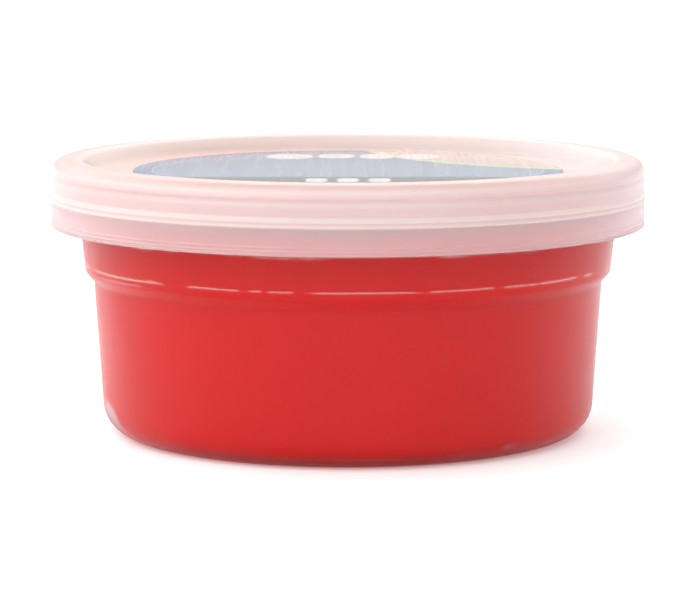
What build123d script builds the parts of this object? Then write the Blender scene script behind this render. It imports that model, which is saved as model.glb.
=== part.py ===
"""Round snap-lid tub of soft modelling clay: tub, clay fill, lid and the lid's round sticker.

Millimetres, +Z up. The origin is the centre of the ring that the tub stands on. Every piece is turned
about the Z axis from one closed outline, given as corners of (radius, height, rounding).
"""

from build123d import *
import os

# Driving dimensions of the whole object
LID_DIAMETER = 80.0
HEIGHT = 37.0
WALL = 0.8
LID_WALL = 0.85
RUNNING_GAP = 0.3  # between the lid and the tub, all the way up as the lid lifts off

# Tub
FOOT_RADIUS = 28.0  # middle of the ring that the tub stands on
FOOT_WIDTH = 1.6
FOOT_DEPTH = 0.7  # how far the base is pushed up inside the foot ring
FLOOR_TOP = 1.5
CORNER_ROUNDING = 4.1
WALL_RADIUS_AT_FLOOR = 32.88
STEP_BOTTOM = 20.7
STEP_TOP = 21.95
STEP_WIDTH = 1.14
WALL_TAPER = 0.066  # growth of radius for each millimetre of height, below the step
BAND_TAPER = 0.098  # the same, above the step
LEDGE_LIFT = 1.05  # the inside corners of the step sit this far above the outside ones
RIM_TOP = 35.8
RIM_WIDTH = 2.7
APRON_BOTTOM = 33.0  # lower edge of the rim's turned-down lip

# Lid
SKIRT_BOTTOM = 28.1
SKIRT_TAPER = 0.1  # how much the skirt draws in below the snap band
SNAP_BAND_MIDDLE = 32.15
SNAP_BAND_HEIGHT = 1.0
SNAP_BAND_STEP = 0.12
PANEL_DEPTH = 1.9  # the panel's top face lies this far below the crest
CREST_INNER_ROUNDING = 1.4
CREST_OUTER_ROUNDING = 1.75
RECESS_ROUNDING = 0.4
PLUG_BOTTOM = 32.9

# Sticker
LABEL_DIAMETER = 57.8
LABEL_THICKNESS = 0.15

# Clay
CLAY_LEVEL = 28.9
CLAY_EDGE_LEVEL = 30.2  # the clay clings to the wall and stands up around its edge
CLAY_EDGE_WIDTH = 1.1
CLAY_DISH_WIDTH = 3.4
CLAY_GAP = 0.08

# Values worked out from the ones above
lid_radius = LID_DIAMETER / 2
wall_radius_at_step = WALL_RADIUS_AT_FLOOR + WALL_TAPER * STEP_BOTTOM
band_radius_at_step = wall_radius_at_step + STEP_WIDTH
band_radius_at_rim = band_radius_at_step + BAND_TAPER * (RIM_TOP - STEP_TOP)
rim_inner_radius = band_radius_at_rim - WALL
rim_outer_radius = rim_inner_radius + RIM_WIDTH
panel_top = HEIGHT - PANEL_DEPTH
skirt_inner_radius = lid_radius - LID_WALL
label_radius = LABEL_DIAMETER / 2


def wall_inside(height):
    """Inside radius of the tub's lower wall."""
    return WALL_RADIUS_AT_FLOOR + WALL_TAPER * height - WALL


def band_inside(height):
    """Inside radius of the band above the tub's step."""
    return band_radius_at_step + BAND_TAPER * (height - STEP_TOP) - WALL


def outline(corners):
    """A face in the XZ plane, bounded by a closed outline of (radius, height, rounding) corners."""
    with BuildSketch(Plane.XZ) as profile:
        with BuildLine():
            FilletPolyline(
                [(radius, height) for radius, height, rounding in corners],
                radius=[rounding for radius, height, rounding in corners],
                close=True,
            )
        make_face()
    return profile.sketch


# Tub: base pushed up inside a foot ring, tapered wall, step, band, and a rim rolled out and down
foot_inner = FOOT_RADIUS - FOOT_WIDTH / 2
ledge_low = STEP_BOTTOM + LEDGE_LIFT
ledge_high = STEP_TOP + LEDGE_LIFT
roll_outer = RIM_WIDTH / 2 - 0.05
roll_inner = roll_outer - WALL

tub_corners = [
    (0, FOOT_DEPTH, 0),
    (foot_inner - FOOT_DEPTH, FOOT_DEPTH, 0.3),
    (foot_inner, 0, 0.2),
    (WALL_RADIUS_AT_FLOOR, 0, CORNER_ROUNDING),
    (wall_radius_at_step, STEP_BOTTOM, 0.8),
    (band_radius_at_step, STEP_TOP, 1.2),
    (band_radius_at_rim, RIM_TOP - WALL, roll_inner),
    (rim_outer_radius - WALL, RIM_TOP - WALL, roll_inner),
    (rim_outer_radius - WALL, APRON_BOTTOM, 0.2),
    (rim_outer_radius, APRON_BOTTOM, 0.2),
    (rim_outer_radius, RIM_TOP, roll_outer),
    (rim_inner_radius, RIM_TOP, roll_outer),
    (band_inside(ledge_high), ledge_high, 0.5),
    (wall_inside(ledge_low), ledge_low, 0.5),
    (wall_inside(FLOOR_TOP), FLOOR_TOP, CORNER_ROUNDING - WALL),
    (0, FLOOR_TOP, 0),
]

with BuildPart() as tub:
    revolve(outline(tub_corners), axis=Axis.Z)
tub.part.label = "tub"

# Clay: fills the tub to just above the skirt's lower edge, dished, with a small air gap at each corner
clay_bottom = FLOOR_TOP + CLAY_GAP
clay_edge_radius = band_inside(CLAY_EDGE_LEVEL) - CLAY_GAP

clay_corners = [
    (0, clay_bottom, 0),
    (wall_inside(clay_bottom) - CLAY_GAP, clay_bottom, CORNER_ROUNDING),
    (wall_inside(ledge_low) - CLAY_GAP, ledge_low, 0.8),
    (band_inside(ledge_high) - CLAY_GAP, ledge_high + CLAY_GAP, 0.9),
    (clay_edge_radius, CLAY_EDGE_LEVEL, 0.4),
    (clay_edge_radius - CLAY_EDGE_WIDTH, CLAY_EDGE_LEVEL, 0.8),
    (clay_edge_radius - CLAY_DISH_WIDTH, CLAY_LEVEL, 2.0),
    (0, CLAY_LEVEL, 0),
]

with BuildPart() as clay:
    revolve(outline(clay_corners), axis=Axis.Z)
clay.part.label = "clay"

# Lid: recessed panel, arched crest ring over the tub's rim, skirt with a raised snap band, plug ring
recess_radius = rim_inner_radius - RUNNING_GAP - LID_WALL
plug_radius = rim_inner_radius - RUNNING_GAP
plug_tip_radius = band_inside(PLUG_BOTTOM) - RUNNING_GAP
channel_top = RIM_TOP + RUNNING_GAP
snap_band_top = SNAP_BAND_MIDDLE + SNAP_BAND_HEIGHT / 2
snap_band_bottom = SNAP_BAND_MIDDLE - SNAP_BAND_HEIGHT / 2
skirt_radius = lid_radius - SNAP_BAND_STEP
skirt_bottom_radius = skirt_radius - SKIRT_TAPER
bead_radius = rim_outer_radius + RUNNING_GAP

lid_corners = [
    (0, panel_top, 0),
    (recess_radius, panel_top, RECESS_ROUNDING),
    (recess_radius, HEIGHT, CREST_INNER_ROUNDING),
    (skirt_radius, HEIGHT, CREST_OUTER_ROUNDING),
    (skirt_radius, snap_band_top + SNAP_BAND_STEP, 0),
    (lid_radius, snap_band_top, 0.1),
    (lid_radius, snap_band_bottom, 0.1),
    (skirt_radius, snap_band_bottom - SNAP_BAND_STEP, 0),
    (skirt_bottom_radius, SKIRT_BOTTOM, 0.25),
    (skirt_bottom_radius - LID_WALL, SKIRT_BOTTOM, 0.25),
    (skirt_inner_radius - SKIRT_TAPER, snap_band_bottom, 0),
    (bead_radius, SNAP_BAND_MIDDLE, 0.3),
    (skirt_inner_radius, snap_band_top, 0),
    (skirt_inner_radius, channel_top, 1.1),
    (plug_radius, channel_top, 1.0),
    (plug_tip_radius, PLUG_BOTTOM, 0.25),
    (plug_tip_radius - LID_WALL, PLUG_BOTTOM, 0.25),
    (recess_radius, panel_top - LID_WALL, 0.4),
    (0, panel_top - LID_WALL, 0),
]

with BuildPart() as lid:
    revolve(outline(lid_corners), axis=Axis.Z)
lid.part.label = "lid"

# Sticker: a round paper disc on the lid's panel
with BuildPart() as lid_label:
    with BuildSketch(Plane.XY.offset(panel_top)):
        Circle(label_radius)
    extrude(amount=LABEL_THICKNESS)
lid_label.part.label = "lid_label"

os.makedirs("parts", exist_ok=True)
for piece in (tub, clay, lid, lid_label):
    export_step(piece.part, f"parts/{piece.part.label}.step")
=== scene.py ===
"""Looks for a round snap-lid tub of red modelling clay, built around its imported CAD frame.

Blender works in metres, +Z up, with the origin at the centre of the ring that the tub stands on. Lengths
below are in millimetres and go through MM. The sizes come first, then the mesh tools, the materials, the
stage (camera, light and floor) and the pieces. Every piece is turned about the Z axis from one outline of
(radius, height, rounding) corners.
"""

import math

import bmesh
import bpy
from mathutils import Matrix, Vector, noise


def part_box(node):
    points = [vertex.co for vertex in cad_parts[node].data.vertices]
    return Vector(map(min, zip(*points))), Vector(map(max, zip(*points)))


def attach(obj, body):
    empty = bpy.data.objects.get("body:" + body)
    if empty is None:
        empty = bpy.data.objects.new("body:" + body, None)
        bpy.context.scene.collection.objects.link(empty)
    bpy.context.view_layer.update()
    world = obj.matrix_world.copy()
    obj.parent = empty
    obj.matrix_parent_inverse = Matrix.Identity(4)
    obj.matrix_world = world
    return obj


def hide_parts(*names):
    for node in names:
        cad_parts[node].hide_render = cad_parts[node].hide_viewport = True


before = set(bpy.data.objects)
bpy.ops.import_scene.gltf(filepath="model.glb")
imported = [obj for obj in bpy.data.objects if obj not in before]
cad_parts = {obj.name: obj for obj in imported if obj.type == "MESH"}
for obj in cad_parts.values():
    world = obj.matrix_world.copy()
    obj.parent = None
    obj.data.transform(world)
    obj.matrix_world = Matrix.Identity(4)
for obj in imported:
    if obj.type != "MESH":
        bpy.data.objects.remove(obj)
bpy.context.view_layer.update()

MM = 0.001

# Mesh detail
TURNS = 384  # sides of a turned piece
CLAY_SIDES = 1080  # sides of the clay, fine enough for its air gaps
ARC_STEP = math.radians(11)  # longest step round an outline's arc
LONGEST_STEP = 3.0  # longest step along an outline's straight part
SHARP_ANGLE = math.radians(35)

# Camera, in millimetres and degrees
CAMERA_DISTANCE = 423.7
CAMERA_HEIGHT = 75.0
CAMERA_PITCH = 7.733
CAMERA_LENS = 163.3
CAMERA_NEAR_CLIP = 10.0

# Light: how bright the studio is at each height above the horizon (sine of the elevation)
LIGHT_BY_HEIGHT = (
    (0.0, 1.2), (0.05, 1.1), (0.1, 0.5), (0.2, 0.7), (0.32, 1.8), (0.5, 2.1), (0.72, 1.9),
    (0.85, 1.3), (1.0, 1.2),
)
LIGHT_LEVEL = 1.24
DIM_SIDE = (0.87, -0.5, 0.0)  # the side where the studio is darkest
DIM_FROM = -0.2  # how far round it starts, as the cosine of the angle from that side
DIM_SHARE = 0.75
DIM_ABOVE = (0.03, 0.12)  # heights between which the dimming fades in, so the backdrop stays white

# Floor
FLOOR_RADIUS = 6000.0
FLOOR_SIDES = 96
FLOOR_GLOW = 0.22  # makes up for the light that the tub keeps off the floor near it

# Sizes that the frame's boxes give
LID_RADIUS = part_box("lid")[1].x / MM
LID_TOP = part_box("lid")[1].z / MM
RIM_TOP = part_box("tub")[1].z / MM
LABEL_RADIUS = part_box("lid_label")[1].x / MM
LABEL_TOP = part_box("lid_label")[1].z / MM
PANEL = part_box("lid_label")[0].z / MM
CLAY_EDGE_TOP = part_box("clay")[1].z / MM

# The tub's other sizes
WALL = 0.8
FLOOR_TOP = 1.5
FOOT_DEPTH = 0.7
FOOT_INNER = 27.2
GATE_RADIUS = 1.5  # the round mark that the mould leaves in the middle
GATE_BEVEL = 0.3
CORNER = 4.1
BASE_RADIUS = 32.88
BASE_SHADE_BOTTOM = 0.4  # painted crimson shade in the thick base, for the shaded clay seen through it, fully up to here
BASE_SHADE_TOP = 2.0  # and not at all from here up
STEP_BOTTOM = 20.7
STEP_TOP = 21.95
STEP_WIDTH = 1.14
TAPER = 0.066
BAND_TAPER = 0.098
LEDGE_LIFT = 1.05
LEDGE_LOW = STEP_BOTTOM + LEDGE_LIFT
LEDGE_HIGH = STEP_TOP + LEDGE_LIFT
STEP_RADIUS = BASE_RADIUS + TAPER * STEP_BOTTOM
BAND_RADIUS = STEP_RADIUS + STEP_WIDTH
RIM_WIDTH = 2.7
RIM_IN = BAND_RADIUS + BAND_TAPER * (RIM_TOP - STEP_TOP) - WALL
RIM_OUT = RIM_IN + RIM_WIDTH
RIM_ROLL = RIM_WIDTH / 2 - 0.05  # just under half, so that the two roundings don't meet
APRON_BOTTOM = 33.0

# The lid's other sizes
LID_WALL = 0.85
GAP = 0.3  # between the lid and the tub
SKIRT_BOTTOM = 28.1
SKIRT_OUT = LID_RADIUS - 0.22  # the skirt below its ridges
SKIRT_IN = LID_RADIUS - LID_WALL
CREST_OUT = LID_RADIUS - 0.2
RECESS = RIM_IN - GAP - LID_WALL
CHANNEL = RIM_TOP + GAP
SNAP_MIDDLE = 32.15  # the bead inside the skirt that snaps under the tub's rim
SNAP_HALF = 0.5
PLUG_BOTTOM = 32.9
PLUG = RIM_IN - GAP
RIDGES = (  # the face from the crest down to the skirt: inset from the lid's radius, height, rounding
    (0.2, 35.15, 0.1), (0.34, 35.0, 0.1), (0.34, 34.75, 0.1), (0.2, 34.25, 0.1), (0.28, 33.0, 0.1),
    (0.08, 32.4, 0.08), (0.14, 32.1, 0.08), (0.0, 31.7, 0.06), (0.14, 31.55, 0.08),
)
RIDGES_END = 29.5
BEADS = (29.16, 28.65)  # heights of the two fine beads under the ridges
BEAD_FOOT = 0.32
BEAD_FACE = 0.08
BEAD_STEP = 0.06
BEAD_ROUNDING = 0.05
LIP_HEIGHT = 0.35
THIN_BELOW = 31.45  # the skirt is thinner and clearer below its ridges

# The clay's other sizes
CLAY_BITE = 0.02  # how far the clay presses into the wall, so that no sliver of air is left between
CLAY_EDGE_WIDTH = 1.1
CLAY_DISH_WIDTH = 3.4
CLAY_DISH_DEPTH = 1.3
CLAY_CORE = 28.0  # inside this radius the clay's sides and air gaps don't reach
CLAY_STEP = 0.3  # longest step along the clay's sides
CLAY_FINE_STEP = 0.08  # the same, along the dashed line of air
CLAY_FINE_FROM = 22.1
CLAY_FINE_TO = 23.4
CLAY_CORE_STEP = 0.9
DENTS = ((0.14, 0.35), (0.5, 0.12))  # scale and depth of the dents in the clay's top
SWIRL_DEPTH = 0.22
SWIRL_RATE = 1.15  # radians of the swirl's wave for each millimetre of radius
SWIRL_FROM = 4.0  # the swirl is at its full depth outside this radius
PEAK_HEIGHT = 0.35
PEAK_RADIUS = 3.0

# Air trapped between the clay and the wall: angles in degrees, 0 at the front and more to the right
AIR_DEPTH = 0.35
AIR_SIDE_TOP = CLAY_EDGE_TOP - 0.5
AIR_BASE_TOP = 8.0  # up to this height air also reaches in under the clay's corner
SHOULDER_AIR = 23.0  # height of the dashed line under the shoulder
SHOULDER_AIR_HALF = 0.19
SHOULDER_AIR_WANDER = 0.08  # how far the line strays up and down
SHOULDER_AIR_KNOWN = 75  # how far round, each way, the photograph shows it
DASH_SOFTENING = 1.0  # how far past its ends each dash fades out
DASH_GAIN = 4.0
SHOULDER_GAPS = (
    (-71, -42), (-35, -28), (-27, -24), (-20, -19), (-16, -12), (-8, 15), (18, 20), (21, 29),
    (30, 31), (35, 40), (42, 43), (45, 57), (62, 64),
)
CORNER_POCKET = (-76, 9, 2.4, 2.6)  # angle, half its width, height, half its height
AIR_SPOTS = (  # angle, half its width, height, half its height, strength
    (-59, 13, 22.3, 0.16, 0.3), (41.3, 2.0, 1.95, 0.5, 0.65), (54.8, 0.9, 1.95, 0.3, 0.2),
)
POCKET_GAIN = 2.0
SPOT_GAIN = 1.6
CONTACT_TOP = 27.7  # about here the clay leaves the wall along a faint wavy line
CONTACT_HALF = 0.35
CONTACT_AIR = 0.5

# The sticker's print, from the lid's centre: each shape's middle, half size and rounding
FRONT_BARS = (
    ((-4.1, -15.3), (1.4, 2.5), 0.9),
    ((0.0, -15.3), (1.4, 2.5), 0.9),
    ((4.1, -15.3), (1.4, 2.5), 0.9),
)
REAR_SHAPES = (
    ((-8.2, 19.0), (3.2, 4.0), 3.0),
    ((-1.6, 19.5), (2.6, 3.4), 2.5),
    ((4.0, 19.2), (2.3, 3.8), 2.2),
    ((9.9, 19.0), (2.9, 3.6), 2.8),
)
BORDER_INNER = 26.3
BORDER_LINE_HALF = 0.15
BAND_FRONT = -11.0  # in front of this the sticker is dark
CORNER_MIDDLE = (40.0, 36.0)  # a big round shape that cuts across the label's rear right edge
CORNER_RADIUS = 36.0
STRIPE_WIDTH = 2.2
PRINT_BLUR = 0.12
SHAPE_BLUR = 0.25


# ---------------------------------------------------------------- outlines and turned meshes


def rounded(corners):
    """Points (radius, height) along an outline of (radius, height, rounding) corners, arcs filled in."""
    points = []
    last = len(corners) - 1
    for i, (r, z, rounding) in enumerate(corners):
        here = Vector((r, z))
        if rounding == 0 or i in (0, last):
            points.append(here)
            continue
        before = (Vector(corners[i - 1][:2]) - here).normalized()
        after = (Vector(corners[i + 1][:2]) - here).normalized()
        half = before.angle(after) / 2
        centre = here + (before + after).normalized() * (rounding / math.sin(half))
        start = here + before * (rounding / math.tan(half)) - centre
        end = here + after * (rounding / math.tan(half)) - centre
        turn = math.copysign(start.angle(end), start.x * end.y - start.y * end.x)
        steps = max(2, math.ceil(abs(turn) / ARC_STEP))
        for k in range(steps + 1):
            a = turn * k / steps
            points.append(centre + Vector((
                start.x * math.cos(a) - start.y * math.sin(a),
                start.x * math.sin(a) + start.y * math.cos(a),
            )))
    return points


def spaced(points, longest):
    """The same outline with no step longer than longest(point)."""
    filled = [points[0]]
    for a, b in zip(points, points[1:]):
        steps = max(1, math.ceil((b - a).length / longest((a + b) / 2)))
        filled += [a.lerp(b, k / steps) for k in range(1, steps + 1)]
    return filled


def evenly(corners):
    """A rounded outline with steps short enough for a plain moulding."""
    return spaced(rounded(corners), lambda point: LONGEST_STEP)


def turned(name, outline, material, sides=TURNS, shape=None):
    """A closed mesh turned about Z from an outline that starts and ends on the axis.

    shape(turn, radius, height) may move a point: it returns the new radius and height.
    """
    made = bmesh.new()
    rings = []
    for r, z in outline:
        if r < 1e-6:
            rings.append([made.verts.new((0, 0, z * MM))])
            continue
        ring = []
        for k in range(sides):
            turn = 2 * math.pi * k / sides
            radius, height = shape(turn, r, z) if shape else (r, z)
            ring.append(made.verts.new((
                radius * math.cos(turn) * MM,
                radius * math.sin(turn) * MM,
                height * MM,
            )))
        rings.append(ring)
    for low, high in zip(rings, rings[1:]):
        for k in range(sides):
            n = (k + 1) % sides
            if len(low) == 1:
                made.faces.new((low[0], high[n], high[k]))
            elif len(high) == 1:
                made.faces.new((low[k], low[n], high[0]))
            else:
                made.faces.new((low[k], low[n], high[n], high[k]))
    bmesh.ops.recalc_face_normals(made, faces=made.faces)
    mesh = bpy.data.meshes.new(name)
    made.to_mesh(mesh)
    made.free()
    mesh.shade_smooth()
    mesh.set_sharp_from_angle(angle=SHARP_ANGLE)
    mesh.materials.append(material)
    piece = bpy.data.objects.new(name, mesh)
    bpy.context.scene.collection.objects.link(piece)
    return piece


def wall_inside(z):
    """Inside radius of the tub's lower wall."""
    return BASE_RADIUS + TAPER * z - WALL


def band_inside(z):
    """Inside radius of the band above the tub's step."""
    return BAND_RADIUS + BAND_TAPER * (z - STEP_TOP) - WALL


def bump_shape(distance, half):
    """1 at no distance, falling smoothly to 0 at half."""
    share = max(0.0, 1.0 - abs(distance) / half)
    return share * share * (3 - 2 * share)


# ---------------------------------------------------------------- materials


class Nodes:
    """A material's node tree, with short calls for the nodes used here."""

    def __init__(self, name):
        self.material = bpy.data.materials.new(name)
        self.material.use_nodes = True
        self.tree = self.material.node_tree
        self.shader = self.tree.nodes["Principled BSDF"]
        self.place = self.node("ShaderNodeTexCoord").outputs["Object"]
        split = self.node("ShaderNodeSeparateXYZ")
        self.put(split.inputs[0], self.place)
        self.x, self.y, self.z = split.outputs

    def node(self, kind, **settings):
        made = self.tree.nodes.new(kind)
        for key, value in settings.items():
            setattr(made, key, value)
        return made

    def put(self, socket, value):
        """Links a socket's value, or sets a plain one."""
        if isinstance(value, bpy.types.NodeSocket):
            self.tree.links.new(value, socket)
        else:
            socket.default_value = value

    def set(self, **values):
        """Sets the shader's sockets: Base_Color=..., Roughness=..."""
        for key, value in values.items():
            self.put(self.shader.inputs[key.replace("_", " ")], value)

    def math(self, operation, a, b=0.0):
        made = self.node("ShaderNodeMath", operation=operation)
        self.put(made.inputs[0], a)
        self.put(made.inputs[1], b)
        return made.outputs["Value"]

    def vector(self, operation, a, b=(0, 0, 0)):
        made = self.node("ShaderNodeVectorMath", operation=operation)
        self.put(made.inputs[0], a)
        self.put(made.inputs[1], b)
        return made.outputs["Value" if operation == "LENGTH" else "Vector"]

    def noise(self, scale, detail=2.0, stretch=(1, 1, 1)):
        made = self.node("ShaderNodeTexNoise")
        self.put(made.inputs["Vector"], self.vector("MULTIPLY", self.place, stretch))
        made.inputs["Scale"].default_value = scale
        made.inputs["Detail"].default_value = detail
        return made.outputs["Fac"]

    def range(self, value, low, high, to_low=0.0, to_high=1.0):
        """Maps low..high to to_low..to_high, and holds the ends."""
        made = self.node("ShaderNodeMapRange")
        numbers = {
            "Value": value, "From Min": low, "From Max": high, "To Min": to_low, "To Max": to_high,
        }
        for key, number in numbers.items():
            self.put(made.inputs[key], number)
        return made.outputs["Result"]

    def most(self, values):
        found = values[0]
        for value in values[1:]:
            found = self.math("MAXIMUM", found, value)
        return found

    def from_axis(self, x=0.0, y=0.0):
        """Distance from an upright axis through (x, y), given in millimetres."""
        beside = self.vector("SUBTRACT", self.place, (x * MM, y * MM, 0))
        return self.vector("LENGTH", self.vector("MULTIPLY", beside, (1, 1, 0)))

    def patch(self, centre, half, rounding):
        """1 inside a rounded box seen from above, given in millimetres, 0 outside it."""
        x, y = centre
        beside = self.vector("ABSOLUTE", self.vector("SUBTRACT", self.place, (x * MM, y * MM, 0)))
        inner = ((half[0] - rounding) * MM, (half[1] - rounding) * MM, 1.0)
        outside = self.vector("LENGTH", self.vector("MAXIMUM", self.vector("SUBTRACT", beside, inner)))
        low = (rounding - SHAPE_BLUR) * MM
        high = (rounding + SHAPE_BLUR) * MM
        return self.range(outside, low, high, 1.0, 0.0)

    def mix(self, share, a, b):
        made = self.node("ShaderNodeMix", data_type="RGBA")
        self.put(made.inputs["Factor"], share)
        self.put(made.inputs["A"], a)
        self.put(made.inputs["B"], b)
        return made.outputs["Result"]

    def attribute(self, name):
        return self.node("ShaderNodeAttribute", attribute_name=name).outputs["Fac"]

    def bump(self, height, distance, strength=1.0):
        made = self.node("ShaderNodeBump")
        self.put(made.inputs["Height"], height)
        made.inputs["Distance"].default_value = distance
        made.inputs["Strength"].default_value = strength
        return made.outputs["Normal"]


def colour(r, g, b):
    return (r, g, b, 1.0)


def fill_ramp(ramp, stops):
    """Gives a grey ramp its stops: (place from 0 to 1, level), in order."""
    elements = ramp.color_ramp.elements
    for element, (place, level) in zip(elements, (stops[0], stops[-1])):
        element.position = place
        element.color = colour(level, level, level)
    for place, level in stops[1:-1]:
        elements.new(place).color = colour(level, level, level)


# Painted highlights and painted shade on the lid at each height: lighter lines on its ridges and beads
# and where plastic lies behind plastic, darker lines between them
LID_HIGHLIGHT_TONES = (
    (28.1, 0.4), (28.3, 0.3), (28.45, 0.05), (28.65, 0.35), (28.8, 0.05), (29.0, 0.05), (29.16, 0.4),
    (29.35, 0.0), (31.3, 0.08), (31.5, 0.3), (31.73, 1.0), (31.9, 0.9), (32.12, 0.1), (32.32, 1.0),
    (32.8, 1.0), (33.0, 0.4), (33.9, 0.4), (34.44, 0.85), (34.75, 0.5), (35.06, 0.25), (35.5, 0.7),
    (35.95, 0.9), (36.4, 0.6), (37.0, 0.5),
)
TONE_CLOUDS = 0.06
CROWN_FADE = (36.0, 36.7)  # heights between which the skirt's tint gives way to the crown's
INNER_FADE = (35.6, 37.0)  # radii between which the inner side's tint gives way to the outer tints
PANEL_FADE = (PANEL + 0.05, PANEL + 0.25)

# Noise comes out mostly between these two
NOISE_LOW = 0.3
NOISE_HIGH = 0.7

# Scales of the noise, and depths of the bumps in metres
GRAIN_SCALE = 900
GRAIN_DEPTH = 0.00002
SMEAR_SCALE = 60
CLOUD_SCALE = 45
BLOTCH_SCALE = 90
CRUMB_SCALE = 500
CRUMB_DEPTH = 0.00008
STREAK_SCALE = 2200
STREAK_STRETCH = (1.0, 0.02, 1.0)
SPECK_SCALE = 1600
SPECK_DEPTH = 0.00001
FIBRE_SCALE = 40


def ramp_by_height(m, tones):
    low, high = tones[0][0], tones[-1][0]
    made = m.node("ShaderNodeValToRGB")
    m.put(made.inputs["Fac"], m.range(m.z, low * MM, high * MM))
    fill_ramp(made, [((z - low) / (high - low), level) for z, level in tones])
    return made.outputs["Color"]


def milky_plastic(name, transmission, pink):
    """The lid's plastic, with painted light in its colour: a painted pink glow of the clay seen through
    it, painted highlights on its ridges, and painted light and shade from left to right.
    """
    m = Nodes(name)
    grain = m.noise(GRAIN_SCALE, 3)
    cloud = m.range(m.noise(CLOUD_SCALE, 3), NOISE_LOW, NOISE_HIGH, -TONE_CLOUDS, TONE_CLOUDS)
    # Painted highlights on the ridges and beads and painted shade between them, by height, with random
    # clouds
    cloud_and_highlight_tone = m.math("ADD", ramp_by_height(m, LID_HIGHLIGHT_TONES), cloud)
    # Painted light and shade from left to right: the inner slope lighter on the left and the crown
    # lighter on the right; the panel is also more peach on the left
    side = m.range(m.x, -LABEL_RADIUS * MM, LABEL_RADIUS * MM)
    crown = m.range(m.z, CROWN_FADE[0] * MM, CROWN_FADE[1] * MM)
    inner = m.range(m.from_axis(), INNER_FADE[0] * MM, INNER_FADE[1] * MM, 1.0, 0.0)
    panel = m.range(m.z, PANEL_FADE[1] * MM, PANEL_FADE[0] * MM)
    # Painted pink glow of the red clay seen through the plastic, and painted cream highlights
    skirt_painted_light = m.mix(cloud_and_highlight_tone, pink, colour(0.98, 0.82, 0.79))
    crown_painted_light = m.mix(side, colour(0.80, 0.57, 0.53), colour(0.84, 0.62, 0.58))
    slope_painted_light = m.mix(side, colour(1.0, 0.84, 0.78), colour(0.88, 0.77, 0.74))
    panel_painted_light = m.mix(side, colour(0.92, 0.60, 0.52), colour(0.82, 0.66, 0.63))
    outer_painted_light = m.mix(crown, skirt_painted_light, crown_painted_light)
    inner_painted_light = m.mix(panel, slope_painted_light, panel_painted_light)
    m.set(Base_Color=m.mix(inner, outer_painted_light, inner_painted_light),
          Roughness=m.range(m.noise(SMEAR_SCALE, 3), NOISE_LOW, NOISE_HIGH, 0.30, 0.38),
          Transmission_Weight=transmission, IOR=1.45,
          Normal=m.bump(grain, GRAIN_DEPTH, 0.5))
    return m.material


def clear_plastic():
    """The tub's plastic: clear on its walls, with painted crimson shade in its thick base for the shaded
    clay seen through it.
    """
    m = Nodes("clear_plastic")
    grain = m.noise(GRAIN_SCALE, 3)
    clear = m.mix(grain, colour(0.985, 0.985, 0.98), colour(1.0, 1.0, 1.0))
    # Painted crimson shade low in the base, for the shaded clay seen through it
    base = m.range(m.z, BASE_SHADE_BOTTOM * MM, BASE_SHADE_TOP * MM, 1.0, 0.0)
    m.set(Base_Color=m.mix(base, clear, colour(0.97, 0.05, 0.05)),
          Roughness=m.range(m.noise(SMEAR_SCALE, 3), NOISE_LOW, NOISE_HIGH, 0.29, 0.36),
          Transmission_Weight=1.0, IOR=1.29,
          Normal=m.bump(grain, GRAIN_DEPTH, 0.4))
    return m.material


def red_clay():
    """Red clay, with a painted pale reflection wherever the "air" attribute says that it has left the
    wall.
    """
    m = Nodes("red_clay")
    blotch = m.noise(BLOTCH_SCALE, 4)
    red = m.mix(blotch, colour(0.68, 0.003, 0.003), colour(0.74, 0.006, 0.005))
    crumb = m.noise(CRUMB_SCALE, 4)
    # Painted pale reflection at the air gaps, where the air attribute is high
    m.set(Base_Color=m.mix(m.attribute("air"), red, colour(0.95, 0.62, 0.58)),
          Roughness=m.range(crumb, NOISE_LOW, NOISE_HIGH, 0.45, 0.6), Specular_IOR_Level=0.12,
          Normal=m.bump(crumb, CRUMB_DEPTH, 0.5))
    return m.material


def printed_label():
    """Glossy printed paper with plain generic shapes."""
    m = Nodes("printed_label")
    streak = m.range(m.noise(STREAK_SCALE, 2, STREAK_STRETCH), 0.35, 0.65)
    speck = m.noise(SPECK_SCALE, 2)
    blur = PRINT_BLUR * MM

    def past(value, edge):
        return m.range(value, edge * MM - blur, edge * MM + blur)

    def line(value, middle, half):
        away = m.math("ABSOLUTE", m.math("SUBTRACT", value, middle * MM))
        return m.range(away, half * MM - blur, half * MM + blur, 1.0, 0.0)

    field = m.mix(streak, colour(0.20, 0.245, 0.33), colour(0.245, 0.29, 0.37))
    border = m.mix(speck, colour(0.11, 0.18, 0.32), colour(0.15, 0.22, 0.36))
    dark = m.mix(speck, colour(0.05, 0.05, 0.052), colour(0.07, 0.07, 0.07))
    peach = m.mix(speck, colour(0.56, 0.42, 0.37), colour(0.62, 0.47, 0.42))
    green = m.mix(speck, colour(0.48, 0.55, 0.30), colour(0.54, 0.60, 0.36))
    white = m.mix(speck, colour(0.62, 0.61, 0.59), colour(0.68, 0.67, 0.65))

    from_middle = m.from_axis()
    from_corner = m.from_axis(*CORNER_MIDDLE)
    stripe_half = STRIPE_WIDTH / 2
    ink = m.mix(past(from_middle, BORDER_INNER), field, border)
    ink = m.mix(line(from_middle, BORDER_INNER, BORDER_LINE_HALF), ink, colour(0.32, 0.37, 0.46))
    ink = m.mix(line(from_corner, CORNER_RADIUS + stripe_half, stripe_half), ink, green)
    ink = m.mix(past(from_corner, CORNER_RADIUS), peach, ink)
    ink = m.mix(past(m.y, BAND_FRONT), dark, ink)
    shapes = m.most([m.patch(*shape) for shape in FRONT_BARS + REAR_SHAPES])
    m.set(Base_Color=m.mix(shapes, ink, white),
          Roughness=m.range(streak, 0.0, 1.0, 0.12, 0.18), IOR=1.36,
          Normal=m.bump(speck, SPECK_DEPTH, 0.3))
    return m.material


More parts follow.
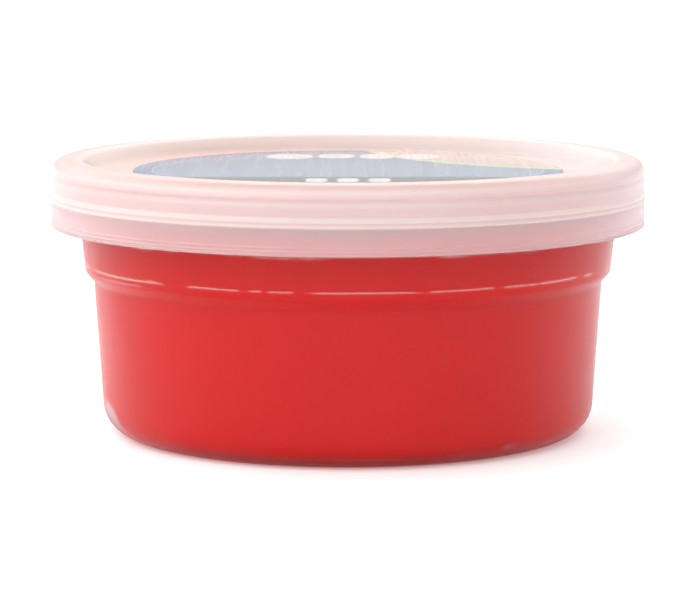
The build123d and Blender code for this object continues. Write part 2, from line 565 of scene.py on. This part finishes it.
def floor_paper():
    m = Nodes("floor_paper")
    fibre = m.noise(FIBRE_SCALE, 4)
    m.set(Base_Color=m.mix(fibre, colour(0.84, 0.90, 0.90), colour(0.86, 0.92, 0.92)), Roughness=0.9,
          Emission_Color=colour(1.0, 1.0, 1.0), Emission_Strength=FLOOR_GLOW)
    return m.material


# ---------------------------------------------------------------- stage


def place_camera():
    camera = bpy.data.objects.new("camera", bpy.data.cameras.new("camera"))
    camera.location = (0, -CAMERA_DISTANCE * MM, CAMERA_HEIGHT * MM)
    camera.rotation_euler = (math.radians(90 - CAMERA_PITCH), 0, 0)
    camera.data.lens = CAMERA_LENS
    camera.data.clip_start = CAMERA_NEAR_CLIP * MM
    bpy.context.scene.collection.objects.link(camera)
    bpy.context.scene.camera = camera
    bpy.context.scene.view_settings.view_transform = "Standard"


def light_studio():
    """A soft studio all round, brightest part of the way up and dimmer on one side."""
    world = bpy.data.worlds.new("studio")
    world.use_nodes = True
    tree = world.node_tree

    def node(kind, *inputs, **settings):
        made = tree.nodes.new(kind)
        for key, value in settings.items():
            setattr(made, key, value)
        for socket, value in zip(made.inputs, inputs):
            if isinstance(value, bpy.types.NodeSocket):
                tree.links.new(value, socket)
            else:
                socket.default_value = value
        return made

    def math_node(operation, *inputs):
        return node("ShaderNodeMath", *inputs, operation=operation).outputs["Value"]

    def range_node(*inputs):
        return node("ShaderNodeMapRange", *inputs).outputs["Result"]

    toward = node("ShaderNodeTexCoord").outputs["Generated"]
    height = node("ShaderNodeSeparateXYZ", toward).outputs["Z"]
    brightest = max(level for place, level in LIGHT_BY_HEIGHT)
    ramp = node("ShaderNodeValToRGB", height)
    ramp.color_ramp.interpolation = "EASE"
    fill_ramp(ramp, [(place, level / brightest) for place, level in LIGHT_BY_HEIGHT])
    dim_side = Vector(DIM_SIDE).normalized()
    facing = node("ShaderNodeVectorMath", toward, dim_side, operation="DOT_PRODUCT").outputs["Value"]
    dimming = range_node(facing, DIM_FROM, 1.0, 0.0, -DIM_SHARE)
    above = range_node(height, *DIM_ABOVE, 0.0, 1.0)
    share = math_node("MULTIPLY_ADD", dimming, above, 1.0)
    level = math_node("MULTIPLY", ramp.outputs["Color"], brightest * LIGHT_LEVEL)
    background = tree.nodes["Background"]
    background.inputs["Color"].default_value = colour(1.0, 1.0, 1.0)
    tree.links.new(math_node("MULTIPLY", level, share), background.inputs["Strength"])
    bpy.context.scene.world = world


def lay_floor():
    bpy.ops.mesh.primitive_circle_add(vertices=FLOOR_SIDES, radius=FLOOR_RADIUS * MM, fill_type="NGON")
    floor = bpy.context.object
    floor.name = "floor"
    floor.data.materials.append(floor_paper())


# ---------------------------------------------------------------- pieces


def settle(piece, body, slot, *nodes):
    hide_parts(*nodes)
    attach(piece, body)


def make_tub():
    """Base with a foot ring and a gate mark, tapered wall, step, band, and a rim rolled out and down."""
    gate_top = FOOT_DEPTH - GATE_BEVEL
    corners = [
        (0, gate_top, 0),
        (GATE_RADIUS - GATE_BEVEL, gate_top, 0.15),
        (GATE_RADIUS, FOOT_DEPTH, 0.1),
        (FOOT_INNER - FOOT_DEPTH, FOOT_DEPTH, 0.3),
        (FOOT_INNER, 0, 0.2),
        (BASE_RADIUS, 0, CORNER),
        (STEP_RADIUS, STEP_BOTTOM, 0.8),
        (BAND_RADIUS, STEP_TOP, 1.2),
        (RIM_IN + WALL, RIM_TOP - WALL, RIM_ROLL - WALL),
        (RIM_OUT - WALL, RIM_TOP - WALL, RIM_ROLL - WALL),
        (RIM_OUT - WALL, APRON_BOTTOM, 0.2),
        (RIM_OUT, APRON_BOTTOM, 0.2),
        (RIM_OUT, RIM_TOP, RIM_ROLL),
        (RIM_IN, RIM_TOP, RIM_ROLL),
        (band_inside(LEDGE_HIGH), LEDGE_HIGH, 0.5),
        (wall_inside(LEDGE_LOW), LEDGE_LOW, 0.5),
        (wall_inside(FLOOR_TOP), FLOOR_TOP, CORNER - WALL),
        (0, FLOOR_TOP, 0),
    ]
    piece = turned("tub_shell", evenly(corners), clear_plastic())
    settle(piece, "tub", "frosted_tub", "tub")


def drift(turn, scale, seed):
    """Smooth noise round the tub, about -1 to 1."""
    return noise.noise(Vector((math.cos(turn) * scale, math.sin(turn) * scale, seed)))


def blob(angle, z, middle, half, middle_z, half_z, gain):
    """An oval patch on the wall: 1 in its middle, 0 outside it, its edge sharper with a higher gain."""
    away = math.hypot((angle - middle) / half, (z - middle_z) / half_z)
    return min(1.0, gain * bump_shape(away, 1.0))


def shoulder_air(turn, angle, z):
    """The dashed line of air under the shoulder, made up where the photograph doesn't show it."""
    if abs(angle) < SHOULDER_AIR_KNOWN:
        line = min(1.0, DASH_GAIN * max(
            bump_shape(angle - (a + b) / 2, (b - a) / 2 + DASH_SOFTENING) for a, b in SHOULDER_GAPS
        ))
    else:
        line = min(1.0, max(0.0, 3 * drift(turn, 6, 2.0) + 0.3))
    line *= 0.75 + 0.4 * drift(turn, 25, 3.0)
    height = SHOULDER_AIR + SHOULDER_AIR_WANDER * drift(turn, 9, 1.0)
    return line * bump_shape(z - height, SHOULDER_AIR_HALF)


def air_at(turn, z):
    """How much air, 0 to 1, there is between the clay and the wall."""
    angle = (math.degrees(turn) + 270) % 360 - 180
    pocket = blob(angle, z, *CORNER_POCKET, POCKET_GAIN)
    spots = max(strength * blob(angle, z, *spot, SPOT_GAIN) for *spot, strength in AIR_SPOTS)
    edge = CONTACT_TOP + 0.35 * drift(turn, 4, 4.0) + 0.2 * drift(turn, 15, 5.0)
    top = CONTACT_AIR * bump_shape(z - edge, CONTACT_HALF)
    return max(shoulder_air(turn, angle, z), pocket, spots, top)


def make_clay():
    """Clay pressed tight to the wall, pulled back from it where air is trapped, with a worked top."""
    low = FLOOR_TOP - CLAY_BITE
    dish = CLAY_EDGE_TOP - CLAY_DISH_DEPTH
    edge = band_inside(CLAY_EDGE_TOP) + CLAY_BITE
    corners = [
        (0, low, 0),
        (wall_inside(low) + CLAY_BITE, low, CORNER - WALL),
        (wall_inside(LEDGE_LOW) + CLAY_BITE, LEDGE_LOW, 0.6),
        (band_inside(LEDGE_HIGH) + CLAY_BITE, LEDGE_HIGH, 0.6),
        (edge, CLAY_EDGE_TOP, 0.4),
        (edge - CLAY_EDGE_WIDTH, CLAY_EDGE_TOP, 0.8),
        (edge - CLAY_DISH_WIDTH, dish, 2.0),
        (0, dish, 0),
    ]

    def shape(turn, r, z):
        """Air on the sides, and dents, a swirl and a small peak left by hand on the top."""
        if r > edge - 3.0 and z < AIR_SIDE_TOP or r > CLAY_CORE and z < AIR_BASE_TOP:
            return r - AIR_DEPTH * air_at(turn, z), z
        if z > dish - 0.3:
            spot = Vector((r * math.cos(turn), r * math.sin(turn), 0.0))
            dents = sum(depth * noise.noise(spot * scale) for scale, depth in DENTS)
            fade = bump_shape(r, edge) * min(1.0, r / SWIRL_FROM)
            swirl = SWIRL_DEPTH * math.sin(r * SWIRL_RATE - turn) * fade
            return r, z + dents + swirl + PEAK_HEIGHT * bump_shape(r, PEAK_RADIUS)
        return r, z

    def longest(point):
        """Finest along the dashed line of air, coarsest on the top and underneath."""
        if point.x < CLAY_CORE:
            return CLAY_CORE_STEP
        return CLAY_FINE_STEP if CLAY_FINE_FROM < point.y < CLAY_FINE_TO else CLAY_STEP

    outline = spaced(rounded(corners), longest)
    piece = turned("clay_fill", outline, red_clay(), CLAY_SIDES, shape)
    # The "air" attribute sets where the clay's colour shows a painted pale reflection at its air gaps
    air = piece.data.attributes.new("air", "FLOAT", "POINT")
    for vertex, value in zip(piece.data.vertices, air.data):
        x, y, z = vertex.co / MM
        if math.hypot(x, y) > CLAY_CORE:
            value.value = air_at(math.atan2(y, x), z)
    settle(piece, "tub", "red_clay", "clay")


def make_lid():
    """Recessed panel, crest, skirt with ridges, two fine beads and a lip, and the plug ring inside."""
    plug_tip = band_inside(PLUG_BOTTOM) - GAP
    beads = []
    for z in BEADS:
        beads += [
            (SKIRT_OUT, z + BEAD_FOOT / 2, BEAD_ROUNDING),
            (SKIRT_OUT + BEAD_STEP, z + BEAD_FACE / 2, BEAD_ROUNDING),
            (SKIRT_OUT + BEAD_STEP, z - BEAD_FACE / 2, BEAD_ROUNDING),
            (SKIRT_OUT, z - BEAD_FOOT / 2, BEAD_ROUNDING),
        ]
    lip_top = SKIRT_BOTTOM + LIP_HEIGHT
    panel_low = PANEL - LID_WALL
    corners = [
        (0, PANEL, 0),
        (RECESS - 0.7, PANEL, 1.0),
        (RECESS + 1.0, LID_TOP, 1.4),
        (CREST_OUT, LID_TOP, 1.75),
        *[(LID_RADIUS - inset, z, rounding) for inset, z, rounding in RIDGES],
        (SKIRT_OUT, RIDGES_END, 0),
        *beads,
        (SKIRT_OUT, lip_top, BEAD_ROUNDING),
        (SKIRT_OUT + BEAD_STEP, lip_top - 0.1, 0.06),
        (SKIRT_OUT + BEAD_STEP, SKIRT_BOTTOM, 0.12),
        (SKIRT_OUT - LID_WALL, SKIRT_BOTTOM, 0.25),
        (SKIRT_IN - 0.1, SNAP_MIDDLE - SNAP_HALF, 0),
        (RIM_OUT + GAP, SNAP_MIDDLE, 0.3),
        (SKIRT_IN, SNAP_MIDDLE + SNAP_HALF, 0),
        (SKIRT_IN, CHANNEL, 1.1),
        (PLUG, CHANNEL, 1.0),
        (plug_tip, PLUG_BOTTOM, 0.25),
        (plug_tip - LID_WALL, PLUG_BOTTOM, 0.25),
        (RECESS, panel_low, 0.4),
        (GATE_RADIUS, panel_low, 0.1),
        (GATE_RADIUS - GATE_BEVEL, panel_low - GATE_BEVEL, 0.1),
        (0, panel_low - GATE_BEVEL, 0),
    ]
    # The pink of each is a painted glow of the red clay seen through the plastic
    thick = milky_plastic("milky_plastic", 0.45, colour(0.88, 0.57, 0.57))
    thin = milky_plastic("thin_milky_plastic", 0.7, colour(0.98, 0.71, 0.73))
    piece = turned("lid_shell", evenly(corners), thick)
    piece.data.materials.append(thin)
    for face in piece.data.polygons:
        if face.center.z < THIN_BELOW * MM:
            face.material_index = 1
    settle(piece, "lid", "frosted_lid", "lid")


def make_label():
    corners = [
        (0, PANEL, 0),
        (LABEL_RADIUS, PANEL, 0.03),
        (LABEL_RADIUS, LABEL_TOP, 0.05),
        (0, LABEL_TOP, 0),
    ]
    piece = turned("lid_sticker", evenly(corners), printed_label())
    settle(piece, "lid", "label_print", "lid_label")


place_camera()
light_studio()
lay_floor()
make_tub()
make_clay()
make_lid()
make_label()
